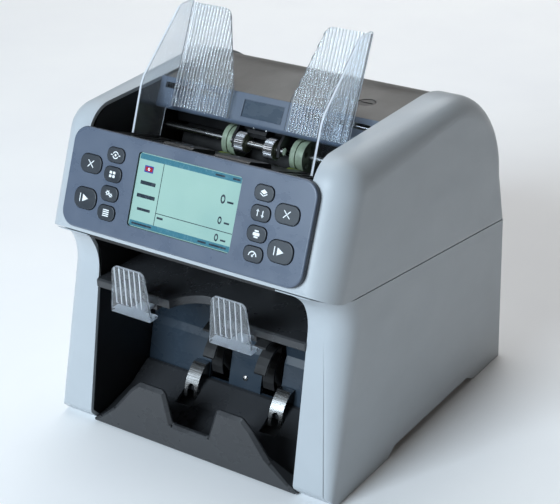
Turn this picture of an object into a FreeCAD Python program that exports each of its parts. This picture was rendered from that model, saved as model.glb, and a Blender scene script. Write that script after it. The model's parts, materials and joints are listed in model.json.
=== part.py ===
import FreeCAD, Part
import math
import os

# Banknote counter with two pockets: stacker below, reject pocket above it, hopper on top.
# X is across, +Z is up. While modelling, Y is measured backwards from the housing's front
# bottom line; save() moves each piece so that the origin is the middle of the footprint.

V = FreeCAD.Vector

HALF_WIDTH = 135.6            # half the width of the housing
BACK = 268.6                  # the vertical back face
NOSE = -8.0                   # the foremost line, the lower edge of the control panel
CENTRE_Y = (BACK + NOSE) / 2
TOP = 267.5                   # flat top of the upper cover
WALL = 3.0                    # plastic wall thickness
PARTING_GAP = 0.8             # joint between the upper cover and the lower housing
OPENING_HALF = 101.5          # half the width of the front opening
HOPPER_HALF = 104.0           # half the width of the hopper opening
LINER_IN = 104.2              # inner face of the hopper's side walls
LINER_OUT = 106.2
FRAME_IN = 106.6              # inner face of the steel side frames
FRAME_OUT = 108.6

PANEL_TILT = 22.7             # degrees from the vertical
PANEL_ORIGIN = V(0, NOSE, 183.3)
PANEL_HALF = 113.8
PANEL_HEIGHT = 79.5
PANEL_THICK = 4.9
SCREEN_HALF = 47.4
SCREEN_LOW = 13.5
SCREEN_HIGH = 68.9
SMALL_KEY_ROWS = [17.4, 32.4, 47.6, 62.6]

GUIDE_TILT = 25.7             # lean of the clear hopper guides, degrees
GUIDE_FOOT = V(0, 104.0, 249.5)
RAIL_R = 2.0                  # the rail on which the guides slide
SLOT_LOW = 14.4               # slots for the guides' necks, up the slope of the hopper plate
SLOT_HIGH = 19.1

KICKER_AXIS = (105.5, 231.0)
FEED_AXIS = (121.5, 223.0)
SEPARATOR_AXIS = (103.5, 209.0)
TRANSPORT_AXIS = (150.0, 200.0)
STACKER_AXIS = (96.0, 62.0)
REJECT_AXIS = (92.0, 137.0)
MOTOR_AXIS = (175.0, 60.0)
GATE_AXIS = (112.0, 122.0)
SHAFT_R = 3.0
TRANSPORT_SHAFT_R = 4.0
GATE_PIN_R = 2.0
HINGE_PIN_R = 2.0
MOTOR_PULLEY_R = 10.0
FEED_PULLEY_R = 12.0
STACKER_PULLEY_R = 14.0
PULLEY_X0 = -FRAME_OUT - 9    # the pulleys run outside the left side frame
PULLEY_X1 = -FRAME_OUT - 2
STUB = 2.0                    # how far an idle shaft stands out of the left side frame
RUNNING = 0.05                # radial clearance of a shaft in its bearing hole
WHEEL_X = 26.0
KNOB_X = 72.0
KNOB_Y = 152.0
STOP_X = 48.3
THUMB_R = 27.5
THUMB_Y = 9.0
KICKER_ARM = 23.0             # outer face of the arms that hold the kicker shaft
HINGE_AXIS = (262.0, 152.0)
COVER_DROP = 2.0              # the rear cover lies this far below the upper cover's surface
SEAM_X = 128.0                # joint between a side shell and the back panel
SEAM_GAP = 0.5
FOOT_X = 118.0
FOOT_YS = (40.0, 240.0)
SCREW_PLACES = [(-119, 20), (119, 20), (-119, 116), (119, 116)]
LEAF_X = 43.0                 # the sprung leaves beside the stacker wheels
LEAF_HALF = 6.5
LIP_FACET = 2.4               # bevel along the front of the stacker lip's rim
LABEL_X = (-18.0, 20.0)       # the recess on the hopper plate
PLATE_HALF = HOPPER_HALF - 0.3
PLATE_TILT = 30.0
POCKET_WALL_X = 101.7         # inner face of the pockets' side walls
CORNER_X = 112.0              # the solid front corners of the casing and the cover
CORNER_Y = 45.0
BAND_DEPTH = 20.0             # how far the casing's upper front corners reach inwards
ROCKER_AXIS = (BACK - 6.0, 44.0)
ROCKER_X = (94.6, 105.9)
ROCKER_PIN_R = 1.4


def box(x0, x1, y0, y1, z0, z1):
    return Part.makeBox(x1 - x0, y1 - y0, z1 - z0, V(x0, y0, z0))


def rod(x0, x1, axis, radius):
    """A cylinder along X between x0 and x1, with its axis at (y, z)."""
    return Part.makeCylinder(radius, x1 - x0, V(x0, axis[0], axis[1]), V(1, 0, 0))


def outline(start, *steps):
    """A closed wire in the YZ plane. A step is (y, z), or (mid y, mid z, end y, end z) for an arc."""
    here = V(0, start[0], start[1])
    first = here
    edges = []
    for step in steps:
        end = V(0, step[-2], step[-1])
        if len(step) == 4:
            edges.append(Part.Arc(here, V(0, step[0], step[1]), end).toShape())
        else:
            edges.append(Part.LineSegment(here, end).toShape())
        here = end
    if here.distanceToPoint(first) > 1e-6:
        edges.append(Part.LineSegment(here, first).toShape())
    return Part.Wire(edges)


def extrude(wire, x0, x1):
    """The solid between x0 and x1 whose section is a wire in the YZ plane."""
    face = Part.Face(wire)
    face.translate(V(x0, 0, 0))
    return face.extrude(V(x1 - x0, 0, 0))


def mirror(shape):
    return shape.mirror(V(0, 0, 0), V(1, 0, 0))


def join(first, *others):
    result = first
    for other in others:
        result = result.fuse(other)
    return result.removeSplitter()


def tilted(shape, angle, origin):
    """Place a shape made flat (X across, Y up the slope, Z outwards) on a sloping plane."""
    shape = shape.copy()
    shape.rotate(V(0, 0, 0), V(1, 0, 0), 90 - angle)
    shape.translate(origin)
    return shape


def on_panel(shape):
    return tilted(shape, PANEL_TILT, PANEL_ORIGIN)


def rounded_plate(x0, x1, y0, y1, z0, z1, radius):
    plate = box(x0, x1, y0, y1, z0, z1)
    uprights = [e for e in plate.Edges if abs(e.tangentAt(e.FirstParameter).z) > 0.9]
    return plate.makeFillet(radius, uprights)


def save(name, shape):
    if isinstance(shape, list):
        shape = Part.makeCompound(shape)
    shape = shape.copy()
    shape.translate(V(0, -CENTRE_Y, 0))
    shape.exportStep("parts/" + name + ".step")


# ------------------------------------------------------------------ housing

def rounded_outline(corners):
    """A closed wire in the YZ plane through corners (y, z, radius), each rounded by a tangent arc."""
    count = len(corners)
    ends = []
    for i, (y, z, radius) in enumerate(corners):
        here = V(0, y, z)
        before = V(0, corners[i - 1][0], corners[i - 1][1]) - here
        after = V(0, corners[(i + 1) % count][0], corners[(i + 1) % count][1]) - here
        before.normalize()
        after.normalize()
        half = before.getAngle(after) / 2
        cut = radius / math.tan(half)
        inward = before + after
        inward.normalize()
        middle = here + inward * (radius / math.sin(half) - radius)
        ends.append((here + before * cut, middle, here + after * cut, radius > 0))
    edges = []
    for i, (start, middle, end, is_round) in enumerate(ends):
        if is_round:
            edges.append(Part.Arc(start, middle, end).toShape())
        follow = ends[(i + 1) % count][0]
        if end.distanceToPoint(follow) > 1e-6:
            edges.append(Part.LineSegment(end, follow).toShape())
    return Part.Wire(edges)


def corner_section(point, normal, radius, inset):
    """What is taken off the housing's long edge at one place: a square less its rounding."""
    normal = V(0, normal[0], normal[1])
    normal.normalize()
    across = V(1, 0, 0)
    radius = max(radius - inset, 0.8)
    corner = V(HALF_WIDTH - inset, point[0], point[1]) - normal * inset
    side = corner - normal * radius
    front = corner - across * radius
    middle = side - across * radius + (normal + across) * (radius * math.sqrt(0.5))
    points = [side, side + across * 2, corner + across * 2 + normal * 2, front + normal * 2, front]
    edges = [Part.LineSegment(p, q).toShape() for p, q in zip(points, points[1:])]
    edges.append(Part.Arc(front, middle, side).toShape())
    return Part.Wire(edges)


def straight_rounding(start, start_r, end, end_r, normal, inset):
    """The tool for a straight stretch, along which the radius may change."""
    rings = [corner_section(start, normal, start_r, inset), corner_section(end, normal, end_r, inset)]
    return Part.makeLoft(rings, True, True)


def turning_rounding(point, normal, centre, degrees, radius, inset):
    """The tool for a stretch that turns about an axis along X through the centre."""
    face = Part.Face(corner_section(point, normal, radius, inset))
    return face.revolve(V(0, centre[0], centre[1]), V(1, 0, 0), degrees)


FRONT_LEAN = math.degrees(math.atan2(26.7, 122.5))
FRONT_NORMAL = (-122.5, 26.7)
SWEEP_R = 37.9                # the front face curves forward under the panel
SWEEP_START = (18.5, 133.0)
SLOPE = (math.sin(math.radians(PANEL_TILT)), math.cos(math.radians(PANEL_TILT)))
SLOPE_NORMAL = (-SLOPE[1], SLOPE[0])
COVER_FOOT = (-3.3, 181.6)
BROW_R = 28.0                 # the cover's upper front corner
REAR_R = 90.0                 # the cover's rear corner
EDGE_R = 24.0                 # rounding of the cover's long edges
REAR_EDGE_R = 16.0
SWEEP_EDGE_R = 20.0


def lower_outline():
    lean = math.radians(FRONT_LEAN)
    turn = math.radians(79.8)
    reach = SWEEP_R * math.tan(turn / 2)
    bend = (SWEEP_START[0] + reach * math.sin(lean), SWEEP_START[1] + reach * math.cos(lean))
    return rounded_outline([
        (1.5, 0, 2.5), (-8.2, 10.5, 6), (bend[0], bend[1], SWEEP_R), (-4.1, 176.1, 0),
        (-3.4, 176.8, 0), (12, 167.3, 50), (BACK, 133, 0), (BACK, 0, 0), (220, 0, 0), (207, 7, 0),
        (87.4, 7, 0), (76.5, 0, 0)])


def brow_point():
    return (COVER_FOOT[0] + (TOP - COVER_FOOT[1]) * SLOPE[0] / SLOPE[1], TOP)


def upper_outline():
    gap = PARTING_GAP
    brow = brow_point()
    return rounded_outline([
        (-3.4, 176.8 + gap, 0), COVER_FOOT + (0,), brow + (BROW_R,), (BACK, TOP, REAR_R),
        (BACK, 133 + gap, 0), (12, 167.3 + gap, 50)])


def lower_roundings(inset):
    start = (-10.2, -3.0)
    lean = math.radians(FRONT_LEAN)
    centre = (SWEEP_START[0] - SWEEP_R * math.cos(lean), SWEEP_START[1] + SWEEP_R * math.sin(lean))
    return [
        straight_rounding(start, 5.0, SWEEP_START, SWEEP_EDGE_R, FRONT_NORMAL, inset),
        turning_rounding(SWEEP_START, FRONT_NORMAL, centre, 84, SWEEP_EDGE_R, inset),
        straight_rounding((BACK, -2), 3.0, (BACK, 135), 3.0, (1, 0), inset)]


def upper_roundings(inset):
    brow = brow_point()
    turn = math.radians(90 - PANEL_TILT)
    reach = BROW_R * math.tan(turn / 2)
    below = (brow[0] - reach * SLOPE[0], brow[1] - reach * SLOPE[1])
    foot = (COVER_FOOT[0] - 8 * SLOPE[0], COVER_FOOT[1] - 8 * SLOPE[1])
    flat_start = (brow[0] + reach, TOP)
    flat_end = (BACK - REAR_R, TOP)
    return [
        straight_rounding(foot, EDGE_R, below, EDGE_R, SLOPE_NORMAL, inset),
        turning_rounding(below, SLOPE_NORMAL, (flat_start[0], TOP - BROW_R), PANEL_TILT - 90, EDGE_R, inset),
        straight_rounding(flat_start, EDGE_R, flat_end, REAR_EDGE_R, (0, 1), inset),
        turning_rounding(flat_end, (0, 1), (flat_end[0], TOP - REAR_R), -90, REAR_EDGE_R, inset),
        straight_rounding((BACK, TOP - REAR_R), REAR_EDGE_R, (BACK, 130), 3.0, (1, 0), inset)]


def shell(wire, roundings):
    """The outside and the hollow of a moulding: one outline across the full width, edges rounded."""
    outer = extrude(wire, -HALF_WIDTH, HALF_WIDTH)
    inner = extrude(wire.makeOffset2D(-WALL, 2), -HALF_WIDTH + WALL, HALF_WIDTH - WALL)
    for tool in roundings(0):
        outer = outer.cut(tool).cut(mirror(tool))
    for tool in roundings(WALL):
        inner = inner.cut(tool).cut(mirror(tool))
    return outer, inner


def lower_body():
    """The whole lower casing with its openings, before it is divided into its three mouldings."""
    outer, inner = shell(lower_outline(), lower_roundings)
    # The front opening has rounded upper corners; the underside is open for the base pan.
    opening = box(-OPENING_HALF, OPENING_HALF, -20, 60, -30, 174)
    corners = [e for e in opening.Edges if e.BoundBox.YLength > 50 and e.BoundBox.ZMin > 100]
    opening = opening.makeFillet(16, corners)
    opening = opening.fuse(box(-OPENING_HALF + 12, OPENING_HALF - 12, -20, 60, 150, 200))
    body = outer.cut(inner).cut(opening)
    body = body.cut(box(-HALF_WIDTH + WALL, HALF_WIDTH - WALL, 12, BACK - WALL, -1, 12))
    # The casing is open at the top, behind the front corners.
    body = body.cut(box(-CORNER_X, CORNER_X, BAND_DEPTH, CORNER_Y, 100, 200))
    body = body.cut(box(-HALF_WIDTH + WALL, HALF_WIDTH - WALL, CORNER_Y, BACK - WALL, 100, 200))
    # Openings in the back wall: ventilation slots, mains inlet, service port.
    for i in range(9):
        z = 84 + i * 3.0
        body = body.cut(box(-70, -10, BACK - 5, BACK + 1, z, z + 1.5))
    body = body.cut(box(62, 110, BACK - 5, BACK + 1, 30, 58))
    return body.cut(box(-30, -14, BACK - 5, BACK + 1, 34, 44))


def side_shell(body):
    """The right-hand moulding: side wall, front band and corner, with posts for the feet."""
    shell_side = body.common(box(60, HALF_WIDTH + 1, -20, BACK + 1, -1, 200))
    shell_side = shell_side.cut(box(50, SEAM_X, BACK - WALL - 0.2, BACK + 1, -1, 200))
    for y in FOOT_YS:
        post = Part.makeCylinder(6, 16, V(FOOT_X, y, 5.2))
        web = box(FOOT_X, HALF_WIDTH - WALL + 0.5, y - 1.5, y + 1.5, 9.4, 20)
        shell_side = shell_side.fuse(post).fuse(web)
    return shell_side.removeSplitter()


def back_panel(body):
    """The moulding between the side shells at the back, with the inlet, port and slots."""
    panel = body.common(box(-SEAM_X + SEAM_GAP, SEAM_X - SEAM_GAP, BACK - WALL, BACK + 1, -1, 200))
    for x, z in SCREW_PLACES:
        panel = panel.cut(Part.makeCylinder(3.4, 2, V(x, BACK - 1.0, z), V(0, 1, 0)))
        panel = panel.cut(Part.makeCylinder(1.7, 10, V(x, BACK - 8, z), V(0, 1, 0)))
    return panel.removeSplitter()


def cover_floor_z(y):
    """Height just above the floor that the cover's outline gives it."""
    return 173.0 - 0.131 * y


def upper_cover():
    outer, inner = shell(upper_outline(), upper_roundings)
    body = outer.cut(inner)
    # The hopper and the rear cover sit in one opening, from the panel over the top and down the back.
    body = body.cut(box(-HOPPER_HALF, HOPPER_HALF, 15, BACK + 5, 252, TOP + 5))
    body = body.cut(box(-HOPPER_HALF, HOPPER_HALF, 60, BACK + 5, 148, TOP + 5))
    # Window behind the control panel for the display, the keys and their board.
    window = box(-PANEL_HALF + 5, PANEL_HALF - 5, 6, PANEL_HEIGHT - 6, -30, 3)
    body = body.cut(on_panel(window))
    # The cover has no floor of its own, except in its front corners.
    for half, y0, y1 in ((CORNER_X, 2, CORNER_Y), (HALF_WIDTH - WALL, CORNER_Y, BACK - WALL)):
        wire = outline((y0, 100), (y0, cover_floor_z(y0)), (y1, cover_floor_z(y1)), (y1, 100))
        body = body.cut(extrude(wire, -half, half))
    # Seat of the reject pocket's ceiling.
    body = body.cut(box(-OPENING_HALF - 3, OPENING_HALF + 3, -2.0, BAND_DEPTH, 160, 176.7))
    # Ears that carry the pins of the rear cover.
    for side in (-1, 1):
        x = side * (HOPPER_HALF + 1.4)
        ear = box(min(x, x + side * 6), max(x, x + side * 6), BACK - 14, BACK - 2, 142, 160)
        body = body.fuse(ear)
    body = body.cut(rod(-112, 112, HINGE_AXIS, HINGE_PIN_R))
    return body.removeSplitter()


def base_pan():
    pan = box(-HALF_WIDTH + WALL + 0.4, HALF_WIDTH - WALL - 0.4, 100, BACK - WALL - 0.6, 7.4, 9.0)
    front = box(-OPENING_HALF + 1.5, OPENING_HALF - 1.5, 30, 100, 3.0, 4.6)
    step = box(-OPENING_HALF + 1.5, OPENING_HALF - 1.5, 98.4, 100, 3.0, 9.0)
    pan = pan.fuse(front).fuse(step)
    for x in (-FOOT_X, FOOT_X):
        pan = pan.cut(Part.makeCylinder(6.6, 30, V(x, 240, 0)))
    for i in range(8):
        pan = pan.cut(box(-40 + i * 10, -36 + i * 10, 150, 200, 5, 12))
    return pan.removeSplitter()


def rubber_feet():
    feet = []
    for x in (-FOOT_X, FOOT_X):
        for y in FOOT_YS:
            foot = Part.makeCone(7.0, 8.0, 5.0, V(x, y, 0))
            feet.append(foot)
    return feet


# ------------------------------------------------------------------ hopper

def hopper_floor_z(y):
    """Height of the hopper floor, which falls towards the rollers."""
    return 251.0 - 0.422 * (y - 30.0)


def hopper_liner():
    y_front = 30.0
    y_back = 98.0
    floor = extrude(outline(
        (y_front, hopper_floor_z(y_front)), (y_back, hopper_floor_z(y_back)), (y_back, 206),
        (y_back - 2.5, 206), (y_back - 2.5, hopper_floor_z(y_back) - 2.2),
        (y_front, hopper_floor_z(y_front) - 3)), -LINER_IN, LINER_IN)
    for x in (-33.0, 33.0):
        floor = floor.cut(box(x - 8, x + 8, 88, 120, 190, 250))
    for x in (-14.0, 14.0):
        floor = floor.cut(box(x - 6, x + 6, 92, 120, 190, 250))
    # Grip ribs on the floor and two ramps along its front edge.
    for i in range(15):
        x = -84 + i * 12
        if abs(x) > 48:
            rib = extrude(outline(
                (40, hopper_floor_z(40)), (84, hopper_floor_z(84)), (84, hopper_floor_z(84) + 0.8),
                (40, hopper_floor_z(40) + 0.8)), x - 1, x + 1)
            floor = floor.fuse(rib)
    for x0, x1 in ((-34, -6), (14, 46)):
        wire = outline((y_front, 249), (y_front, 253.6), (y_front + 3, 253.9), (58, 243), (58, 238))
        ramp = extrude(wire, x0, x1)
        floor = floor.fuse(ramp)
    wall = extrude(outline(
        (y_front, 200), (y_front, 249), (38, 259), (50, TOP - WALL - 0.2), (150, TOP - WALL - 0.2),
        (150, 190), (60, 190)), LINER_IN, LINER_OUT)
    wall = wall.cut(rod(100, 110, FEED_AXIS, 5))
    wall = wall.cut(rod(100, 110, SEPARATOR_AXIS, 5)).cut(rod(100, 110, TRANSPORT_AXIS, 12))
    wall = wall.cut(rod(100, 110, rail_axis(), RAIL_R))
    front = box(-LINER_IN, LINER_IN, y_front, y_front + 2.5, 236, hopper_floor_z(y_front) - 3)
    baffle = box(-LINER_IN, LINER_IN, 136, 138, 222, 244)
    return join(floor, wall, mirror(wall), front, baffle)


def hopper_plate():
    """The sloping back rest of the banknote stack, with a rolled lower lip and a label recess."""
    foot = V(0, 106.0, 247.5)
    plate = box(-PLATE_HALF, PLATE_HALF, 1.5, 23.5, -2.5, 0)
    plate = plate.cut(box(LABEL_X[0], LABEL_X[1], 4.5, 18.5, -0.8, 1))
    lip = Part.makeCylinder(3.6, 2 * PLATE_HALF, V(-PLATE_HALF, 1.5, -3.6), V(1, 0, 0))
    plate = plate.fuse(lip)
    # Slots in which the guides' necks travel.
    for side in (-1, 1):
        x0, x1 = sorted((side * 40, side * 98))
        plate = plate.cut(box(x0, x1, SLOT_LOW, SLOT_HIGH, -4, 1))
    return tilted(plate.removeSplitter(), PLATE_TILT, foot)


def hopper_guide(side):
    """One clear hopper guide: a fluted plate against the stack's back and a wing beside it."""
    outer = 85.5
    low_in = 27.5
    top_in = 46.0
    height = 85.0
    thick = 2.2
    points = [V(low_in, 0, 0), V(outer, 0, 0), V(outer, height, 0), V(top_in, height, 0),
              V(low_in, height * 0.28, 0)]
    edges = [Part.LineSegment(a, b).toShape() for a, b in zip(points, points[1:] + points[:1])]
    plate = Part.Face(Part.Wire(edges)).extrude(V(0, 0, thick))
    top_corner = [e for e in plate.Edges if e.BoundBox.ZLength > 1 and abs(e.BoundBox.XMax - top_in) < 0.1]
    plate = plate.makeFillet(8.0, top_corner)
    # Flutes on the front face.
    flute_pitch = 3.0
    for i in range(18):
        x = 31.0 + i * flute_pitch
        cut = Part.makeCylinder(1.1, height + 2, V(x, -1, thick + 0.2), V(0, 1, 0))
        plate = plate.cut(cut)
    # Stiffening fins on the back, above and beside the neck.
    for i in range(6):
        x = 57.0 + i * 5.0
        plate = plate.fuse(box(x - 0.6, x + 0.6, 0.4, 36, -2.0, 0.2))
    neck = box(73, 79, 13.9, 17.3, -10.5, 0.5)
    carrier = box(69, 81, 11.5, 18.8, -17.5, -10.5)
    plate = plate.fuse(neck).fuse(carrier)
    plate = tilted(plate, GUIDE_TILT, GUIDE_FOOT)
    wing = extrude(outline(
        (54.3, 243.2), (86.5, 229.6), (95.8, 250.0), (104.0, 249.5), (141.0, 326.4), (140.0, 328.5),
        (127.5, 328.5), (122.5, 327.2), (73.3, 285.2), (69.0, 279.0)), outer - thick, outer)
    guide = join(plate, wing)
    guide = guide.cut(rod(60, 90, rail_axis(), RAIL_R + RUNNING))
    if side < 0:
        guide = mirror(guide)
    return guide


def rail_axis():
    """The rail runs through the middle of the guides' carriers, behind the plate."""
    tilt = math.radians(GUIDE_TILT)
    along = 15.5
    behind = 14.0
    y = GUIDE_FOOT.y + along * math.sin(tilt) + behind * math.cos(tilt)
    z = GUIDE_FOOT.z + along * math.cos(tilt) - behind * math.sin(tilt)
    return (y, z)


def guide_rail():
    return rod(-LINER_OUT, LINER_OUT, rail_axis(), RAIL_R)


def sensor_bracket():
    """Hangs under the plate's lip, carries the stack sensor and holds the kicker shaft in two arms."""
    body = extrude(outline((106.5, 236.5), (103.6, 241.5), (105.4, 243.4), (116, 243.4), (116, 238)),
                   -9, 9)
    bar = box(-KICKER_ARM, KICKER_ARM, 115.5, 119, 238, 243.4)
    bridge = box(-9, 9, 112, 119, 237.5, 243.4)
    arms = []
    for side in (-1, 1):
        x0, x1 = sorted((side * (KICKER_ARM - 2.5), side * KICKER_ARM))
        arm = extrude(outline((100.5, 227), (103, 236.4), (112, 243.4), (119, 243.4), (119, 238),
                              (111, 227)), x0, x1)
        arms.append(arm)
    bracket = join(body, bar, bridge, *arms)
    clear_rollers = rod(-18.6, 18.6, KICKER_AXIS, 9.2).cut(rod(-9.4, 9.4, KICKER_AXIS, 12))
    bracket = bracket.cut(clear_rollers).cut(rod(-9.5, 9.5, KICKER_AXIS, 4.2))
    return bracket.cut(rod(-KICKER_ARM - 1, KICKER_ARM + 1, KICKER_AXIS, SHAFT_R + RUNNING))


def knurled(x0, x1, axis, radius, count, depth):
    """A roller along X with fine V grooves along its rim."""
    points = []
    for i in range(count * 2):
        angle = math.pi * i / count
        r = radius if i % 2 == 0 else radius - depth
        points.append(V(x0, axis[0] + r * math.cos(angle), axis[1] + r * math.sin(angle)))
    points.append(points[0])
    return Part.Face(Part.makePolygon(points)).extrude(V(x1 - x0, 0, 0))


def kicker_shaft():
    return rod(-KICKER_ARM - 2, KICKER_ARM + 2, KICKER_AXIS, SHAFT_R)


def kicker_rollers():
    rollers = []
    for x in (-14.0, 14.0):
        roller = knurled(x - 4, x + 4, KICKER_AXIS, 8.5, 36, 0.5)
        rollers.append(roller.cut(rod(x - 5, x + 5, KICKER_AXIS, SHAFT_R)))
    return rollers


def feed_shaft():
    shaft = rod(PULLEY_X0 - 1, FRAME_OUT + 3, FEED_AXIS, SHAFT_R)
    pulley = rod(PULLEY_X0, PULLEY_X1, FEED_AXIS, FEED_PULLEY_R)
    return join(shaft, pulley)


def feed_wheels():
    wheels = []
    for x in (-33.0, 33.0):
        wheel = rod(x - 6, x + 6, FEED_AXIS, 13.0)
        groove = rod(x - 1.5, x + 1.5, FEED_AXIS, 14).cut(rod(x - 2, x + 2, FEED_AXIS, 12.0))
        wheel = wheel.cut(groove)
        for i in range(5):
            angle = 2 * math.pi * i / 5
            hole = (FEED_AXIS[0] + 8 * math.cos(angle), FEED_AXIS[1] + 8 * math.sin(angle))
            wheel = wheel.cut(rod(x - 7, x + 7, hole, 2.4))
        wheels.append(wheel.cut(rod(x - 7, x + 7, FEED_AXIS, SHAFT_R)))
    return wheels


def separator_rollers():
    """Rubber retard rollers below the feed wheels, moulded on one hub tube."""
    core = rod(-FRAME_OUT - STUB, FRAME_OUT + 3, SEPARATOR_AXIS, SHAFT_R)
    for x in (-33.0, 33.0):
        core = core.fuse(rod(x - 5, x + 5, SEPARATOR_AXIS, 9.5))
    return core.removeSplitter()


def transport_roller():
    core = rod(-FRAME_OUT - STUB, FRAME_OUT + 3, TRANSPORT_AXIS, TRANSPORT_SHAFT_R)
    drum = rod(-98, 98, TRANSPORT_AXIS, 20.0)
    return join(core, drum)


# ------------------------------------------------------------------ pockets

def lip_facet(start, end):
    """What the facet along the front of the lip's rim takes off between two of its points (x, z)."""
    length = math.hypot(end[0] - start[0], end[1] - start[1])
    out_x = (start[1] - end[1]) / length
    out_z = (end[0] - start[0]) / length
    rings = []
    for x, z in (start, end):
        front = -5.6 + 3.0 * max(z - 24.0, 0) / 28.5
        corners = []
        for back, out in ((LIP_FACET + 1, 1), (-1, -LIP_FACET - 1), (-LIP_FACET - 2, LIP_FACET + 2)):
            corners.append(V(x + out_x * out, front + back, z + out_z * out))
        rings.append(Part.makePolygon(corners + corners[:1]))
    return Part.makeLoft(rings, True, True)


def stacker_tray():
    """Floor of the lower pocket; its front lip has two tabs and a finger valley."""
    floor = extrude(outline(
        (6, 2), (9, 4), (44, 12.2), (67, 24.8), (70.4, 24.8), (70.4, 21.5), (67.6, 21.5), (44.4, 9.1),
        (29.5, 5.5), (29.5, 2)), -101, 101)
    for x in (-LEAF_X, LEAF_X):
        floor = floor.cut(box(x - LEAF_HALF - 1.5, x + LEAF_HALF + 1.5, 41, 57.5, 0, 60))
    steps = [(18, 24.5), (26, 52), (51, 52), (60, 44), (78, 22), (94, 8), (101, 4)]
    points = [V(-x, 0, z) for x, z in reversed(steps)] + [V(x, 0, z) for x, z in steps]
    points = points + [V(101, 0, 1), V(-101, 0, 1)]
    edges = [Part.LineSegment(a, b).toShape() for a, b in zip(points, points[1:] + points[:1])]
    lip = Part.Face(Part.Wire(edges)).extrude(V(0, 20, 0))
    creases = [e for e in lip.Edges if e.BoundBox.YLength > 19 and e.BoundBox.ZMin > 6]
    lip = lip.makeFillet(4.5, creases)
    lip.translate(V(0, -10, 0))
    sheet = extrude(outline(
        (6, 2), (-4.6, 2), (-5.6, 24), (-2.6, 52.5), (1.2, 52.5), (-1.2, 26), (9.5, 4)), -101, 101)
    lip = lip.common(sheet)
    for start, end in zip(steps, steps[1:]):
        facet = lip_facet(start, end)
        lip = lip.cut(facet).cut(mirror(facet))
    middle = lip_facet((-steps[0][0], steps[0][1]), steps[0])
    return join(floor, lip.cut(middle))


def stacker_back_wall():
    wall = extrude(outline(
        (70.8, 21.5), (70.8, 26), (79.5, 56), (83.0, 62), (83.0, 112), (85.5, 112), (85.5, 61),
        (82.0, 55), (73.4, 21.5)), -101.2, 101.2)
    for side in (-1, 1):
        x0, x1 = sorted((side * (WHEEL_X - 10), side * (WHEEL_X + 10)))
        wall = wall.cut(box(x0, x1, 60, 100, 24, 104))
    screw_hole = Part.makeCylinder(1.6, 20, V(0, 65, 34), V(0, 1, 0))
    ribs = [box(x - 1, x + 1, 83, 92, 64, 110) for x in (-80, -52, 52, 80)]
    wall = wall.cut(screw_hole)
    return join(wall, *ribs)


def pocket_wall(side):
    """Side wall of both pockets, from behind the front opening to behind the stacker wheels."""
    inside = extrude(lower_outline().makeOffset2D(-WALL - 0.1, 2), POCKET_WALL_X, POCKET_WALL_X + 2.5)
    wall = inside.common(box(100, 106, -20, 86, 4, 172))
    wall = wall.cut(rod(100, 106, REJECT_AXIS, 4))
    if side < 0:
        wall = mirror(wall)
    return wall


def paddle_wheel(x_mid):
    """Stacker wheel: a hub with curved flexible blades that catch the notes one by one."""
    wheel = rod(x_mid - 5.5, x_mid + 5.5, STACKER_AXIS, 14.0)
    count = 10
    for i in range(count):
        start = 2 * math.pi * i / count
        outer = []
        inner = []
        for k in range(7):
            t = k / 6
            r = 12.5 + 26.5 * t
            angle = start + 0.85 * t
            half = (1.5 - 0.7 * t) / r
            outer.append(V(x_mid - 5.5, STACKER_AXIS[0] + r * math.cos(angle + half),
                           STACKER_AXIS[1] + r * math.sin(angle + half)))
            inner.append(V(x_mid - 5.5, STACKER_AXIS[0] + r * math.cos(angle - half),
                           STACKER_AXIS[1] + r * math.sin(angle - half)))
        points = outer + inner[::-1]
        points.append(points[0])
        wheel = wheel.fuse(Part.Face(Part.makePolygon(points)).extrude(V(11, 0, 0)))
    return wheel.cut(rod(x_mid - 7, x_mid + 7, STACKER_AXIS, SHAFT_R)).removeSplitter()


def stacker_shaft():
    shaft = rod(PULLEY_X0 - 1, FRAME_OUT + 3, STACKER_AXIS, SHAFT_R)
    pulley = rod(PULLEY_X0, PULLEY_X1, STACKER_AXIS, STACKER_PULLEY_R)
    return join(shaft, pulley)


def leaf_guides():
    """Sprung steel fingers beside the stacker wheels; each ends in two prongs over a floor slot."""
    leaves = []
    for x in (-LEAF_X, LEAF_X):
        leaf = extrude(outline(
            (72.9, 38.4), (68, 38.4), (57.6, 29.0, 51.6, 12.0), (52.4, 11.8),
            (58.3, 28.6, 68.2, 37.6), (72.7, 37.6)), x - LEAF_HALF, x + LEAF_HALF)
        notch = Part.makeCylinder(3.4, 30, V(x, 40, 21), V(0, 1, 0))
        notch = notch.fuse(box(x - 3.4, x + 3.4, 40, 70, 8, 21))
        leaves.append(leaf.cut(notch))
    return leaves


def reject_tray():
    """Floor of the upper pocket: thumb recess in its front edge, rails below for the stops."""
    tray = extrude(outline(
        (14.5, 119.5), (14.5, 125.3), (16, 126.6), (83.4, 124.2), (83.4, 121.4), (22, 123.6), (22, 119.5)),
        -101.4, 101.4)
    rim = Part.makeCylinder(THUMB_R + 6, 7.1, V(0, THUMB_Y, 119.5)).cut(box(-40, 40, -40, 14.6, 100, 140))
    tray = tray.fuse(rim)
    tray = tray.cut(Part.makeCylinder(THUMB_R, 40, V(0, THUMB_Y, 100)))
    for x in (-STOP_X, STOP_X):
        for side in (-1, 1):
            x0, x1 = sorted((x + side * 6.3, x + side * 8.3))
            tray = tray.fuse(box(x0, x1, 15, 58, 114.4, 122.0))
            x0, x1 = sorted((x + side * 3.6, x + side * 8.3))
            tray = tray.fuse(box(x0, x1, 15, 58, 114.4, 116.2))
    return tray.removeSplitter()


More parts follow.
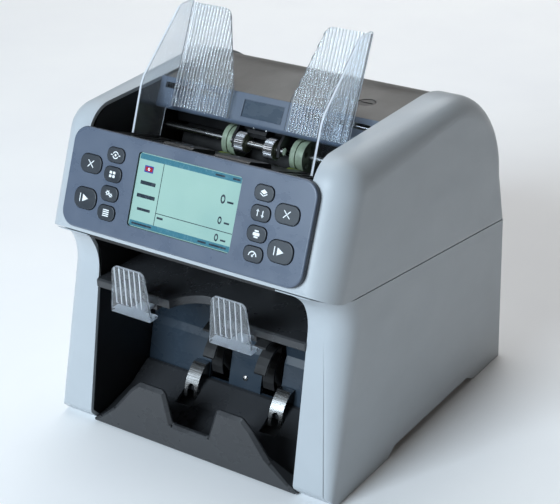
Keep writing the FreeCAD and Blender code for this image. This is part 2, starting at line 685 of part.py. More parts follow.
def reject_stop(x_mid):
    """A clear fluted stop that keeps rejected notes in the pocket; its tongue slides under the tray."""
    y0 = -7.6
    low = 119.2
    high = 158.0
    points = [V(-19.4, y0, low), V(19.4, y0, low), V(15.2, y0, high), V(-15.2, y0, high)]
    edges = [Part.LineSegment(a, b).toShape() for a, b in zip(points, points[1:] + points[:1])]
    plate = Part.Face(Part.Wire(edges)).extrude(V(0, 2.4, 0))
    tops = [e for e in plate.Edges if e.BoundBox.YLength > 2 and e.BoundBox.ZMin > 150]
    plate = plate.makeFillet(5.0, tops)
    for i in range(6):
        x = -12.5 + i * 5.0
        plate = plate.cut(Part.makeCylinder(1.3, 40, V(x, y0 - 0.5, 126), V(0, 0, 1)))
    shelf = box(-19.4, 19.4, y0, 2.0, 116.8, low)
    tongue = box(-6, 6, 1.9, 44, 116.8, low)
    stop = join(plate, shelf, tongue)
    stop.translate(V(x_mid, 0, 0))
    return stop


def reject_ceiling():
    """Black guide that closes the top of the reject pocket, with ribs that lead the notes."""
    skin = extrude(outline(
        (-1.6, 174.0), (-1.6, 176.2), (4, 175.4), (84, 168), (84, 166), (4, 172.6)), -101.5, 101.5)
    for x0, x1 in ((-102, -89.3), (89.3, 102)):
        skin = skin.cut(box(x0, x1, -5, BAND_DEPTH + 0.2, 150, 180))
    ribs = []
    for x in (-72, -36, 0, 36, 72):
        wire = outline((24, 171), (60, 152), (84, 148), (84, 167), (24, 172.5))
        ribs.append(extrude(wire, x - 1.2, x + 1.2))
    back = box(-101.5, 101.5, 84, 86, 148, 168)
    return join(skin, back, *ribs)


def reject_roller():
    core = rod(-FRAME_OUT - STUB, FRAME_OUT + 3, REJECT_AXIS, SHAFT_R)
    for x in (-62.0, -22.0, 22.0, 62.0):
        core = core.fuse(rod(x - 4, x + 4, REJECT_AXIS, 8.0))
    return core.removeSplitter()


# ------------------------------------------------------------------ mechanism

def side_frame(side):
    plate = extrude(outline((88, 20), (88, 190), (96, 240), (160, 240), (200, 170), (250, 130),
                            (250, 12), (106, 12)), FRAME_IN, FRAME_OUT)
    for axis in (FEED_AXIS, SEPARATOR_AXIS, STACKER_AXIS, REJECT_AXIS):
        plate = plate.cut(rod(100, 112, axis, SHAFT_R + RUNNING))
    plate = plate.cut(rod(100, 112, TRANSPORT_AXIS, TRANSPORT_SHAFT_R + RUNNING))
    plate = plate.cut(rod(100, 112, GATE_AXIS, GATE_PIN_R + RUNNING))
    for window in ((130, 160, 90, 150), (190, 235, 70, 115)):
        plate = plate.cut(box(100, 112, window[0], window[1], window[2], window[3]))
    flange = box(FRAME_OUT, FRAME_OUT + 9, 125, 230, 12, 14)
    plate = join(plate, flange)
    if side < 0:
        plate = mirror(plate)
        plate = plate.cut(rod(-112, -100, MOTOR_AXIS, 14))
    return plate


def diverter_gate():
    """Flap that sends a note down to the stacker or forward into the reject pocket."""
    spindle = rod(-FRAME_OUT - STUB, FRAME_OUT + STUB, GATE_AXIS, GATE_PIN_R)
    hub = rod(-96, 96, GATE_AXIS, 3.6)
    y, z = GATE_AXIS
    flap = extrude(outline((y - 2, z + 1), (y + 2, z + 1), (y + 0.6, z + 17), (y - 0.6, z + 17)), -96, 96)
    for i in range(7):
        x = -84 + i * 28
        flap = flap.cut(box(x - 6, x + 6, y - 5, y + 5, z + 6, z + 20))
    return join(spindle, hub, flap)


def main_motor():
    body = rod(-96, -30, MOTOR_AXIS, 22.0)
    collar = rod(-FRAME_IN, -96, MOTOR_AXIS, 13.0)
    return join(body, collar).cut(rod(-130, -90, MOTOR_AXIS, SHAFT_R + RUNNING))


def motor_pulley():
    shaft = rod(PULLEY_X0 - 1, -94, MOTOR_AXIS, SHAFT_R)
    return join(shaft, rod(PULLEY_X0, PULLEY_X1, MOTOR_AXIS, MOTOR_PULLEY_R))


def drive_belt():
    """Toothed belt round the motor, stacker and feed pulleys, on the left side frame."""
    thick = 1.4
    pulleys = [(MOTOR_AXIS, MOTOR_PULLEY_R), (FEED_AXIS, FEED_PULLEY_R), (STACKER_AXIS, STACKER_PULLEY_R)]
    x0 = PULLEY_X0 + 0.4
    x1 = PULLEY_X1 - 0.4

    def loop(extra):
        hull = None
        for (a, ra), (b, rb) in zip(pulleys, pulleys[1:] + pulleys[:1]):
            dy = b[0] - a[0]
            dz = b[1] - a[1]
            distance = math.hypot(dy, dz)
            lean = math.asin((ra - rb) / distance)
            along = math.atan2(dz, dy)
            corners = []
            for centre, radius in ((a, ra + extra), (b, rb + extra)):
                for sign in (1, -1):
                    angle = along + sign * (math.pi / 2 - lean)
                    corners.append((centre[0] + radius * math.cos(angle),
                                    centre[1] + radius * math.sin(angle)))
            wire = outline(corners[0], corners[1], corners[3], corners[2])
            span = extrude(wire, x0, x1)
            span = span.fuse(rod(x0, x1, a, ra + extra)).fuse(rod(x0, x1, b, rb + extra))
            hull = span if hull is None else hull.fuse(span)
        middle = outline(pulleys[0][0], pulleys[1][0], pulleys[2][0])
        return hull.fuse(extrude(middle, x0, x1))

    return loop(0.1 + thick).cut(loop(0.1)).removeSplitter()


def main_board():
    board = box(-90, 60, 238, 239.6, 20, 110)
    for i in range(6):
        board = board.fuse(box(-80 + i * 22, -66 + i * 22, 234, 238, 40, 54))
        board = board.fuse(box(-80 + i * 22, -70 + i * 22, 232, 238, 80, 88))
    port = box(-29.5, -14.5, 239.6, BACK - 0.4, 34.5, 43.5)
    port = port.cut(box(-28.5, -15.5, BACK - 8, BACK + 1, 35.5, 42.5))
    return join(board, port)


def power_supply():
    can = box(20, 96, 170, 226, 12, 62)
    for i in range(9):
        can = can.cut(box(26 + i * 8, 29 + i * 8, 180, 216, 60, 63))
    return can


def power_inlet():
    """Three-pin mains inlet and the frame of the rocker switch, in one black bezel."""
    bezel = box(62.4, 109.6, BACK - 18, BACK - 0.4, 30.4, 57.6)
    cavity = box(65.5, 89.5, BACK - 16, BACK + 1, 35.5, 52.5)
    bezel = bezel.cut(cavity)
    for x, z in ((71.5, 42.5), (83.5, 42.5), (77.5, 46.5)):
        bezel = bezel.fuse(box(x - 1, x + 1, BACK - 16.5, BACK - 6, z - 2, z + 2))
    bezel = bezel.cut(box(ROCKER_X[0] - 0.6, ROCKER_X[1] + 0.6, BACK - 14, BACK + 1, 33, 55))
    bezel = bezel.cut(rod(ROCKER_X[0] - 2, ROCKER_X[1] + 2, ROCKER_AXIS, ROCKER_PIN_R + RUNNING))
    return bezel.removeSplitter()


def power_switch():
    """The rocker, with a pivot pin moulded on each side."""
    y, z = ROCKER_AXIS
    rocker = extrude(outline((y + 3.2, z - 9.6), (y + 5.4, z + 9.6), (y - 2, z + 8), (y - 2, z - 8)),
                     ROCKER_X[0], ROCKER_X[1])
    return join(rocker, rod(ROCKER_X[0] - 1.8, ROCKER_X[1] + 1.8, ROCKER_AXIS, ROCKER_PIN_R))


def cover_screws():
    screws = []
    for x, z in SCREW_PLACES:
        head = Part.makeCylinder(3.2, 1.0, V(x, BACK - 1.0, z), V(0, 1, 0))
        shank = Part.makeCylinder(1.5, 7.0, V(x, BACK - 8.0, z), V(0, 1, 0))
        for slot in (box(x - 2.2, x + 2.2, BACK - 0.7, BACK + 1, z - 0.4, z + 0.4),
                     box(x - 0.4, x + 0.4, BACK - 0.7, BACK + 1, z - 2.2, z + 2.2)):
            head = head.cut(slot)
        screws.append(join(head, shank))
    return screws


# ------------------------------------------------------------------ rear cover

def rear_cover():
    """Dark cover over the transport, hinged at its lower back edge."""
    thick = 2.6
    top = TOP - COVER_DROP
    back = BACK - COVER_DROP
    diagonal = math.sqrt(0.5)
    arc_mid = (241.8 - COVER_DROP * diagonal, 241.2 - COVER_DROP * diagonal)
    skin = extrude(outline(
        (119.6, top), (178.6, top), (arc_mid[0], arc_mid[1], back, 177.5), (back, 149.2),
        (back - thick, 149.2), (back - thick, 177.5),
        (arc_mid[0] - thick * diagonal, arc_mid[1] - thick * diagonal, 178.6, top - thick),
        (119.6, top - thick)), -HOPPER_HALF + 0.6, HOPPER_HALF - 0.6)
    lugs = []
    for side in (-1, 1):
        x0, x1 = sorted((side * 94, side * 103.4))
        lug = extrude(outline((back - 1, 149.2), (back - 1, 160), (256, 158), (257, 149.2)), x0, x1)
        lugs.append(lug)
    cover = join(skin, *lugs)
    cover = cover.cut(rod(-112, 112, HINGE_AXIS, HINGE_PIN_R + RUNNING))
    # Finger pull and the seat of the feed-gap knob.
    cover = cover.cut(Part.makeCylinder(7.6, 20, V(KNOB_X, KNOB_Y, top - 12)))
    cup = Part.makeCylinder(9.4, 8.0, V(KNOB_X, KNOB_Y, top - 8.6))
    cup = cup.cut(Part.makeCylinder(7.6, 6.4, V(KNOB_X, KNOB_Y, top - 7.0)))
    cup = cup.cut(Part.makeCylinder(2.5 + RUNNING, 12, V(KNOB_X, KNOB_Y, top - 12)))
    return join(cover, cup)


def feed_gap_knob():
    """Slotted knob that sets the gap between the feed wheels and the separator rollers."""
    top = TOP - COVER_DROP
    knob = Part.makeCylinder(7.0, 6.0, V(KNOB_X, KNOB_Y, top - 6.4))
    knob = knob.fuse(Part.makeCylinder(2.5, 12, V(KNOB_X, KNOB_Y, top - 16)))
    knob = knob.cut(box(KNOB_X - 5.5, KNOB_X + 5.5, KNOB_Y - 0.8, KNOB_Y + 0.8, top - 2, top + 1))
    for i in range(18):
        angle = 2 * math.pi * i / 18
        x = KNOB_X + 7.3 * math.cos(angle)
        y = KNOB_Y + 7.3 * math.sin(angle)
        knob = knob.cut(Part.makeCylinder(0.7, 10, V(x, y, top - 6.5)))
    return knob.removeSplitter()


def hinge_pins():
    pins = []
    for side in (-1, 1):
        x0, x1 = sorted((side * 95, side * 111.5))
        pins.append(rod(x0, x1, HINGE_AXIS, HINGE_PIN_R))
    return pins


# ------------------------------------------------------------------ control panel

def key_list():
    """Name, centre across, centre up the slope, width, height of each key."""
    keys = []
    for side, word in ((-1, "left"), (1, "right")):
        for number, s in enumerate(reversed(SMALL_KEY_ROWS), start=1):
            keys.append(("key_" + word + "_" + str(number), side * 69.5, s, 17.0, 11.4))
        keys.append(("key_clear_" + word, side * 92.0, 51.6, 21.0, 14.2))
        keys.append(("key_start_" + word, side * 92.0, 24.2, 22.0, 16.4))
    return keys


def key_cap(x, s, width, height, z0, z1):
    return rounded_plate(x - width / 2, x + width / 2, s - height / 2, s + height / 2, z0, z1,
                         height * 0.43)


def control_panel():
    plate = rounded_plate(-PANEL_HALF, PANEL_HALF, 0, PANEL_HEIGHT, -PANEL_THICK, 0, 13.0)
    rim = [e for e in plate.Edges if e.BoundBox.ZMin > -0.01]
    plate = plate.makeFillet(1.6, rim)
    pocket = rounded_plate(-PANEL_HALF + 4, PANEL_HALF - 4, 4, PANEL_HEIGHT - 4, -PANEL_THICK - 1, -2.5, 9.0)
    plate = plate.cut(pocket)
    for name, x, s, width, height in key_list():
        plate = plate.cut(key_cap(x, s, width + 0.9, height + 0.9, -4, 1))
    window = rounded_plate(-SCREEN_HALF - 1.0, SCREEN_HALF + 1.0, SCREEN_LOW - 1.0, SCREEN_HIGH + 1.0,
                           -4, 1, 2.5)
    return on_panel(plate.cut(window).removeSplitter())


def panel_key(x, s, width, height):
    cap = key_cap(x, s, width, height, -3.6, 1.1)
    crown = [e for e in cap.Edges if e.BoundBox.ZMin > 1.0]
    cap = cap.makeFillet(0.7, crown)
    flange = key_cap(x, s, width + 2.2, height + 2.2, -3.8, -2.7)
    stem = Part.makeCylinder(2.0, 2.4, V(x, s, -5.8))
    return on_panel(join(cap, flange, stem))


def lcd_module():
    glass = box(-SCREEN_HALF - 4, SCREEN_HALF + 4, SCREEN_LOW - 4, SCREEN_HIGH + 4, -9.0, -2.9)
    face = rounded_plate(-SCREEN_HALF - 0.6, SCREEN_HALF + 0.6, SCREEN_LOW - 0.6, SCREEN_HIGH + 0.6,
                         -2.9, -1.4, 2.4)
    return on_panel(join(glass, face))


def key_board():
    board = box(-PANEL_HALF + 8, PANEL_HALF - 8, 8, PANEL_HEIGHT - 8, -11.0, -9.4)
    for name, x, s, width, height in key_list():
        board = board.fuse(box(x - 3, x + 3, s - 3, s + 3, -9.4, -7.6))
    return on_panel(board.removeSplitter())


def main():
    os.makedirs("parts", exist_ok=True)
    body = lower_body()
    side = side_shell(body)
    save("side_shell_right", side)
    save("side_shell_left", mirror(side))
    save("back_panel", back_panel(body))
    save("upper_cover", upper_cover())
    save("base_pan", base_pan())
    save("rubber_feet", rubber_feet())
    save("hopper_liner", hopper_liner())
    save("hopper_plate", hopper_plate())
    save("hopper_guide_left", hopper_guide(-1))
    save("hopper_guide_right", hopper_guide(1))
    save("guide_rail", guide_rail())
    save("sensor_bracket", sensor_bracket())
    save("kicker_shaft", kicker_shaft())
    save("kicker_rollers", kicker_rollers())
    save("feed_shaft", feed_shaft())
    save("feed_wheels", feed_wheels())
    save("separator_rollers", separator_rollers())
    save("transport_roller", transport_roller())
    save("stacker_tray", stacker_tray())
    save("stacker_back_wall", stacker_back_wall())
    save("pocket_wall_left", pocket_wall(-1))
    save("pocket_wall_right", pocket_wall(1))
    save("stacker_wheel_left", paddle_wheel(-WHEEL_X))
    save("stacker_wheel_right", paddle_wheel(WHEEL_X))
    save("stacker_shaft", stacker_shaft())
    save("leaf_guides", leaf_guides())
    save("reject_tray", reject_tray())
    save("reject_stop_left", reject_stop(-STOP_X))
    save("reject_stop_right", reject_stop(STOP_X))
    save("reject_ceiling", reject_ceiling())
    save("reject_roller", reject_roller())
    save("side_frame_left", side_frame(-1))
    save("side_frame_right", side_frame(1))
    save("diverter_gate", diverter_gate())
    save("main_motor", main_motor())
    save("motor_pulley", motor_pulley())
    save("drive_belt", drive_belt())
    save("main_board", main_board())
    save("power_supply", power_supply())
    save("power_inlet", power_inlet())
    save("power_switch", power_switch())
    save("cover_screws", cover_screws())
    save("rear_cover", rear_cover())
    save("feed_gap_knob", feed_gap_knob())
    save("hinge_pins", hinge_pins())
    save("control_panel", control_panel())
    save("lcd_module", lcd_module())
    save("key_board", key_board())
    for name, x, s, width, height in key_list():
        save(name, panel_key(x, s, width, height))


main()
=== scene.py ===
import json
import math

import bmesh
import bpy
from mathutils import Matrix, Vector


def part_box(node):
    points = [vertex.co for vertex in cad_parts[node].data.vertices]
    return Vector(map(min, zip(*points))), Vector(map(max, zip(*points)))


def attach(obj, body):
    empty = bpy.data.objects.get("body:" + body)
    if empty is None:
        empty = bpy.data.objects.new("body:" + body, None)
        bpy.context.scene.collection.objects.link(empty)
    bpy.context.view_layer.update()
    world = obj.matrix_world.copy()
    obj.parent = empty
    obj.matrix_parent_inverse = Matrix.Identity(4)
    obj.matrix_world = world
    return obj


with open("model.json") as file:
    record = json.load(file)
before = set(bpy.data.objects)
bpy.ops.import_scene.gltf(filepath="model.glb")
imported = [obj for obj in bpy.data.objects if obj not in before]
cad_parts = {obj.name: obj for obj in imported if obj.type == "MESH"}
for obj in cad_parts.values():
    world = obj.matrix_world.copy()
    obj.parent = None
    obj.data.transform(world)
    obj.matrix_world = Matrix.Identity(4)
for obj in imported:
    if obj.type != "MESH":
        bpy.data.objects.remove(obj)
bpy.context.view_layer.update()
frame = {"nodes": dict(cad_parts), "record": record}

MM = 0.001
PANEL_TILT = math.radians(22.7)
GUIDE_TILT = math.radians(25.7)
PLATE_TILT = math.radians(30.0)
WING_X = 83.5 * MM             # from here outwards a hopper guide is only its wing


def srgb(red, green, blue):
    """A display colour as the linear colour that the shader takes."""
    def linear(c):
        return c / 12.92 if c <= 0.04045 else ((c + 0.055) / 1.055) ** 2.4
    return (linear(red), linear(green), linear(blue), 1.0)


# ---------------------------------------------------------------- material kit

def new_material(name, colour, roughness, **sockets):
    mat = bpy.data.materials.new(name)
    mat.use_nodes = True
    shader = mat.node_tree.nodes["Principled BSDF"]
    shader.inputs["Base Color"].default_value = colour
    shader.inputs["Roughness"].default_value = roughness
    for socket, value in sockets.items():
        shader.inputs[socket.replace("_", " ")].default_value = value
    return mat


def add_node(mat, kind, **values):
    node = mat.node_tree.nodes.new(kind)
    for key, value in values.items():
        if hasattr(node, key):
            setattr(node, key, value)
        else:
            node.inputs[key.replace("_", " ")].default_value = value
    return node


def link(mat, source, target):
    mat.node_tree.links.new(source, target)


def shader_of(mat):
    return mat.node_tree.nodes["Principled BSDF"]


def object_coords(mat, stretch=(1, 1, 1)):
    coords = add_node(mat, "ShaderNodeTexCoord")
    mapping = add_node(mat, "ShaderNodeMapping")
    mapping.inputs["Scale"].default_value = stretch
    link(mat, coords.outputs["Object"], mapping.inputs["Vector"])
    return mapping.outputs["Vector"]


def noise_field(mat, scale, detail=3.0, stretch=(1, 1, 1), roughness=0.55):
    field = add_node(mat, "ShaderNodeTexNoise", Scale=scale, Detail=detail, Roughness=roughness)
    link(mat, object_coords(mat, stretch), field.inputs["Vector"])
    return field.outputs["Fac"]


def ramp(mat, field, low, high, from_value, to_value):
    """A number that runs from from_value to to_value as the field goes from low to high."""
    node = add_node(mat, "ShaderNodeMapRange")
    node.inputs["From Min"].default_value = low
    node.inputs["From Max"].default_value = high
    node.inputs["To Min"].default_value = from_value
    node.inputs["To Max"].default_value = to_value
    link(mat, field, node.inputs["Value"])
    return node.outputs["Result"]


def blend_colours(mat, field, first, second):
    node = add_node(mat, "ShaderNodeMix", data_type="RGBA")
    node.inputs[6].default_value = first
    node.inputs[7].default_value = second
    link(mat, field, node.inputs[0])
    return node.outputs[2]


def tint_over(mat, field, colour_output, second):
    node = add_node(mat, "ShaderNodeMix", data_type="RGBA")
    link(mat, colour_output, node.inputs[6])
    node.inputs[7].default_value = second
    link(mat, field, node.inputs[0])
    return node.outputs[2]


def set_colour(mat, output):
    link(mat, output, shader_of(mat).inputs["Base Color"])


def set_roughness(mat, output):
    link(mat, output, shader_of(mat).inputs["Roughness"])


def set_bump(mat, height, distance, strength=1.0, edge_radius=None):
    node = add_node(mat, "ShaderNodeBump", Strength=strength, Distance=distance)
    link(mat, height, node.inputs["Height"])
    if edge_radius:
        soft = add_node(mat, "ShaderNodeBevel", samples=4)
        soft.inputs["Radius"].default_value = edge_radius
        link(mat, soft.outputs["Normal"], node.inputs["Normal"])
    link(mat, node.outputs["Normal"], shader_of(mat).inputs["Normal"])


def scaled(colour, factor):
    return (colour[0] * factor, colour[1] * factor, colour[2] * factor, 1.0)


def moulded_plastic(name, colour, rough, grain_mm=0.35, grain_depth=0.02, spread=0.08, edge_mm=0.5,
                    **sockets):
    """Satin moulding: spark-eroded grain, faint cloudy colour, smudged gloss."""
    mat = new_material(name, colour, rough, **sockets)
    clouds = noise_field(mat, 22.0, 4.0)
    shade = ramp(mat, clouds, 0.3, 0.7, 0.0, 1.0)
    tone = blend_colours(mat, shade, scaled(colour, 1 - spread), scaled(colour, 1 + spread * 0.6))
    dust = ramp(mat, noise_field(mat, 420.0, 5.0), 0.55, 0.85, 0.0, 0.05)
    set_colour(mat, tint_over(mat, dust, tone, scaled(colour, 1.18)))
    smudges = noise_field(mat, 38.0, 6.0, (1.0, 0.6, 1.4))
    set_roughness(mat, ramp(mat, smudges, 0.3, 0.72, rough - 0.09, rough + 0.10))
    grain = noise_field(mat, 1.0 / (grain_mm * MM), 2.0)
    set_bump(mat, grain, grain_depth * MM, 1.0, edge_mm * MM)
    return mat


def rubber(name, colour, rough, **sockets):
    mat = new_material(name, colour, rough, **sockets)
    patches = ramp(mat, noise_field(mat, 160.0, 5.0), 0.35, 0.7, 0.0, 1.0)
    set_colour(mat, blend_colours(mat, patches, scaled(colour, 0.78), scaled(colour, 1.25)))
    set_roughness(mat, ramp(mat, noise_field(mat, 90.0, 4.0), 0.3, 0.7, rough - 0.08, rough + 0.10))
    set_bump(mat, noise_field(mat, 1500.0, 3.0), 0.03 * MM, 1.0, 0.3 * MM)
    return mat


def steel(name, colour, rough, stretch, **sockets):
    """Ground metal: fine lines along the grinding direction, with a little tarnish."""
    mat = new_material(name, colour, rough, Metallic=1.0, **sockets)
    lines = noise_field(mat, 900.0, 4.0, stretch)
    tarnish = ramp(mat, noise_field(mat, 60.0, 4.0), 0.45, 0.75, 0.0, 0.35)
    grind = ramp(mat, lines, 0.3, 0.7, 0.0, 1.0)
    tone = blend_colours(mat, grind, scaled(colour, 0.92), scaled(colour, 1.04))
    set_colour(mat, tint_over(mat, tarnish, tone, scaled(colour, 0.62)))
    set_roughness(mat, ramp(mat, lines, 0.25, 0.75, rough * 0.8, rough * 1.3))
    set_bump(mat, lines, 0.003 * MM, 0.5)
    return mat


def facing(mat, direction, near, far):
    """0 where a face looks along a direction or against it, rising to 1 as it turns away."""
    geometry = add_node(mat, "ShaderNodeNewGeometry")
    dot = add_node(mat, "ShaderNodeVectorMath", operation="DOT_PRODUCT")
    dot.inputs[1].default_value = direction
    link(mat, geometry.outputs["True Normal"], dot.inputs[0])
    size = add_node(mat, "ShaderNodeMath", operation="ABSOLUTE")
    link(mat, dot.outputs["Value"], size.inputs[0])
    return ramp(mat, size.outputs[0], near, far, 0.0, 1.0)


def beside(mat, start):
    """1 on the wings of the guides, further from the middle than start, and 0 between them."""
    split = add_node(mat, "ShaderNodeSeparateXYZ")
    link(mat, object_coords(mat), split.inputs[0])
    size = add_node(mat, "ShaderNodeMath", operation="ABSOLUTE")
    link(mat, split.outputs["X"], size.inputs[0])
    return ramp(mat, size.outputs[0], start, start + 0.5 * MM, 0.0, 1.0)


def clear_plastic(name, tilt):
    """Clear plates that lean back by tilt: their rims, flutes and the guides' wings get a painted
    highlight, whiter and less clear.
    """
    mat = new_material(name, srgb(0.93, 0.96, 0.98), 0.06, IOR=1.49)
    # Painted highlight: faces turned away from the plate, and the wings beyond WING_X, lose clearness and
    # take a whiter colour.
    painted_rim_highlight = add_node(mat, "ShaderNodeMath", operation="MULTIPLY")
    off_plate = add_node(mat, "ShaderNodeMath", operation="MAXIMUM")
    link(mat, facing(mat, (0.0, -math.cos(tilt), math.sin(tilt)), 0.93, 0.60), off_plate.inputs[0])
    link(mat, beside(mat, WING_X), off_plate.inputs[1])
    link(mat, off_plate.outputs[0], painted_rim_highlight.inputs[0])
    link(mat, facing(mat, (1.0, 0.0, 0.0), 0.985, 0.90), painted_rim_highlight.inputs[1])
    see_through = ramp(mat, painted_rim_highlight.outputs[0], 0.0, 1.0, 0.95, 0.30)
    link(mat, see_through, shader_of(mat).inputs["Transmission Weight"])
    haze = ramp(mat, noise_field(mat, 30.0, 3.0), 0.3, 0.75, 0.0, 1.0)
    clear = blend_colours(mat, haze, srgb(0.97, 0.985, 1.0), srgb(0.92, 0.95, 0.975))
    set_colour(mat, tint_over(mat, painted_rim_highlight.outputs[0], clear, srgb(0.95, 0.97, 1.0)))
    scratches = noise_field(mat, 700.0, 5.0, (1.0, 0.08, 0.08))
    set_roughness(mat, ramp(mat, scratches, 0.45, 0.8, 0.04, 0.13))
    set_bump(mat, noise_field(mat, 55.0, 3.0), 0.05 * MM, 0.35)
    return mat


def panel_material():
    """The control panel: satin slate face; its edge and the walls of its openings get painted shade, darker
    than the face.
    """
    face = srgb(0.345, 0.385, 0.45)
    mat = moulded_plastic("panel_slate", face, 0.30, 0.22, 0.006, 0.05, 0.4)
    geometry = add_node(mat, "ShaderNodeNewGeometry")
    towards = add_node(mat, "ShaderNodeVectorMath", operation="DOT_PRODUCT")
    towards.inputs[1].default_value = (0.0, -math.cos(PANEL_TILT), math.sin(PANEL_TILT))
    link(mat, geometry.outputs["True Normal"], towards.inputs[0])
    # Painted shade: faces that turn from the panel's face are tinted darker, as where light does not reach
    # them.
    painted_side_shade = ramp(mat, towards.outputs["Value"], 0.80, 0.35, 0.0, 0.78)
    base = shader_of(mat).inputs["Base Color"].links[0].from_socket
    set_colour(mat, tint_over(mat, painted_side_shade, base, srgb(0.13, 0.15, 0.18)))
    return mat


def board_material():
    """Green circuit board with a faint pattern of tracks."""
    mat = new_material("board_green", srgb(0.05, 0.32, 0.17), 0.35)
    tracks = add_node(mat, "ShaderNodeTexBrick", Scale=220.0)
    tracks.inputs["Color1"].default_value = srgb(0.05, 0.36, 0.20)
    tracks.inputs["Color2"].default_value = srgb(0.04, 0.28, 0.15)
    tracks.inputs["Mortar"].default_value = srgb(0.10, 0.44, 0.26)
    link(mat, object_coords(mat), tracks.inputs["Vector"])
    set_colour(mat, tracks.outputs["Color"])
    set_roughness(mat, ramp(mat, noise_field(mat, 200.0), 0.3, 0.7, 0.25, 0.5))
    set_bump(mat, noise_field(mat, 500.0), 0.02 * MM)
    return mat


def lcd_material():
    """The lit display: a pale mint glow with a faint cell grid."""
    mat = new_material("lcd_glass", srgb(0.60, 0.71, 0.68), 0.16)
    shader = shader_of(mat)
    grid = add_node(mat, "ShaderNodeTexChecker", Scale=2600.0)
    link(mat, object_coords(mat), grid.inputs["Vector"])
    cells = ramp(mat, grid.outputs["Fac"], 0.0, 1.0, 0.0, 0.35)
    clouds = ramp(mat, noise_field(mat, 14.0, 2.0), 0.3, 0.7, 0.0, 1.0)
    tone = blend_colours(mat, clouds, srgb(0.53, 0.66, 0.63), srgb(0.60, 0.72, 0.67))
    mixed = tint_over(mat, cells, tone, srgb(0.58, 0.69, 0.68))
    set_colour(mat, mixed)
    link(mat, mixed, shader.inputs["Emission Color"])
    shader.inputs["Emission Strength"].default_value = 0.20
    set_roughness(mat, ramp(mat, noise_field(mat, 70.0, 4.0), 0.35, 0.7, 0.10, 0.24))
    return mat


def ink(name, colour, glow=0.0, rough=0.5):
    """Printed or lit marks: a slightly mottled film."""
    mat = new_material(name, colour, rough)
    mottle = ramp(mat, noise_field(mat, 900.0, 3.0), 0.3, 0.7, 0.0, 1.0)
    tone = blend_colours(mat, mottle, scaled(colour, 0.88), scaled(colour, 1.08))
    set_colour(mat, tone)
    set_roughness(mat, ramp(mat, noise_field(mat, 300.0, 3.0), 0.3, 0.7, rough - 0.1, rough + 0.1))
    if glow:
        link(mat, tone, shader_of(mat).inputs["Emission Color"])
        shader_of(mat).inputs["Emission Strength"].default_value = glow
    return mat


FINISH = {
    "housing_grey": moulded_plastic("housing_grey", srgb(0.70, 0.725, 0.745), 0.40, 0.30, 0.010, 0.03, 0.5),
    "cover_dark": moulded_plastic("cover_dark", srgb(0.335, 0.33, 0.32), 0.40, 0.4, 0.015, 0.06, 0.5),
    "panel_slate": panel_material(),
    "key_rubber": moulded_plastic("key_rubber", srgb(0.16, 0.185, 0.215), 0.38, 0.25, 0.008, 0.06, 0.3),
    "lcd_glass": lcd_material(),
    "slate_plastic": moulded_plastic("slate_plastic", srgb(0.34, 0.385, 0.45), 0.36, 0.3, 0.008, 0.05, 0.5),
    "black_plastic": moulded_plastic(
        "black_plastic", srgb(0.085, 0.087, 0.095), 0.42, 0.35, 0.015, 0.15, 0.4),
    "pocket_grey": moulded_plastic("pocket_grey", srgb(0.215, 0.22, 0.23), 0.30, 0.35, 0.010, 0.08, 0.8),
    "pocket_blue": moulded_plastic("pocket_blue", srgb(0.19, 0.235, 0.28), 0.30, 0.35, 0.010, 0.08, 0.6),
    "clear_plastic": clear_plastic("clear_guides", GUIDE_TILT),
    "bright_steel": steel("bright_steel", srgb(0.83, 0.83, 0.83), 0.24, (0.05, 1.0, 1.0)),
    "knurled_steel": steel("knurled_steel", srgb(0.82, 0.83, 0.85), 0.26, (0.1, 1.0, 1.0)),
    "pressed_steel": steel("pressed_steel", srgb(0.62, 0.63, 0.64), 0.42, (1.0, 0.2, 1.0)),
    "pale_green_rubber": rubber("pale_green_rubber", srgb(0.57, 0.63, 0.55), 0.50),
    "lime_rubber": rubber("lime_rubber", srgb(0.56, 0.62, 0.24), 0.55),
    "black_rubber": rubber("black_rubber", srgb(0.10, 0.10, 0.105), 0.60),
    "foot_rubber": rubber("foot_rubber", srgb(0.09, 0.09, 0.09), 0.75),
    "board_green": board_material(),
}
WHITE_INK = ink("white_ink", srgb(0.90, 0.92, 0.93))
SCREEN_DARK = ink("screen_dark", srgb(0.16, 0.20, 0.24), 0.02, 0.25)
SCREEN_TEAL = ink("screen_teal", srgb(0.24, 0.44, 0.50), 0.14, 0.22)
SCREEN_RED = ink("screen_red", srgb(0.62, 0.16, 0.19), 0.10, 0.25)
SCREEN_BLUE = ink("screen_blue", srgb(0.16, 0.25, 0.56), 0.10, 0.25)
BRASS = steel("inlet_brass", srgb(0.78, 0.66, 0.42), 0.3, (1.0, 0.1, 1.0))
HUB = moulded_plastic("roller_hub", srgb(0.44, 0.46, 0.38), 0.45, 0.3, 0.01, 0.15, 0.3)
LABEL = moulded_plastic("hopper_label", srgb(0.21, 0.27, 0.33), 0.30, 0.2, 0.004, 0.05, 0.2)
STOP_CLEAR = clear_plastic("clear_stops", 0.0)

for row in frame["record"]["subparts"]:
    part = frame["nodes"][row["node"]]
    part.data.materials.clear()
    part.data.materials.append(STOP_CLEAR if "reject_stop" in row["node"] else FINISH[row["material_slot"]])


# ---------------------------------------------------------------- mesh kit

def reach(node, direction):
    """Lowest and highest distance of a CAD node's points along a direction."""
    way = Vector(direction)
    spans = [way.dot(v.co) for v in frame["nodes"][node].data.vertices]
    return min(spans), max(spans)


def sloped_matrix(tilt, x, along, out):
    """Places a flat drawing (X across, Y up the slope, Z outwards) on a leaning face."""
    up = Vector((0, math.sin(tilt), math.cos(tilt)))
    normal = Vector((0, -math.cos(tilt), math.sin(tilt)))
    place = Vector((x, 0, 0)) + up * along + normal * out
    turn = Matrix((Vector((1, 0, 0)), up, normal)).transposed()
    return Matrix.Translation(place) @ turn.to_4x4()


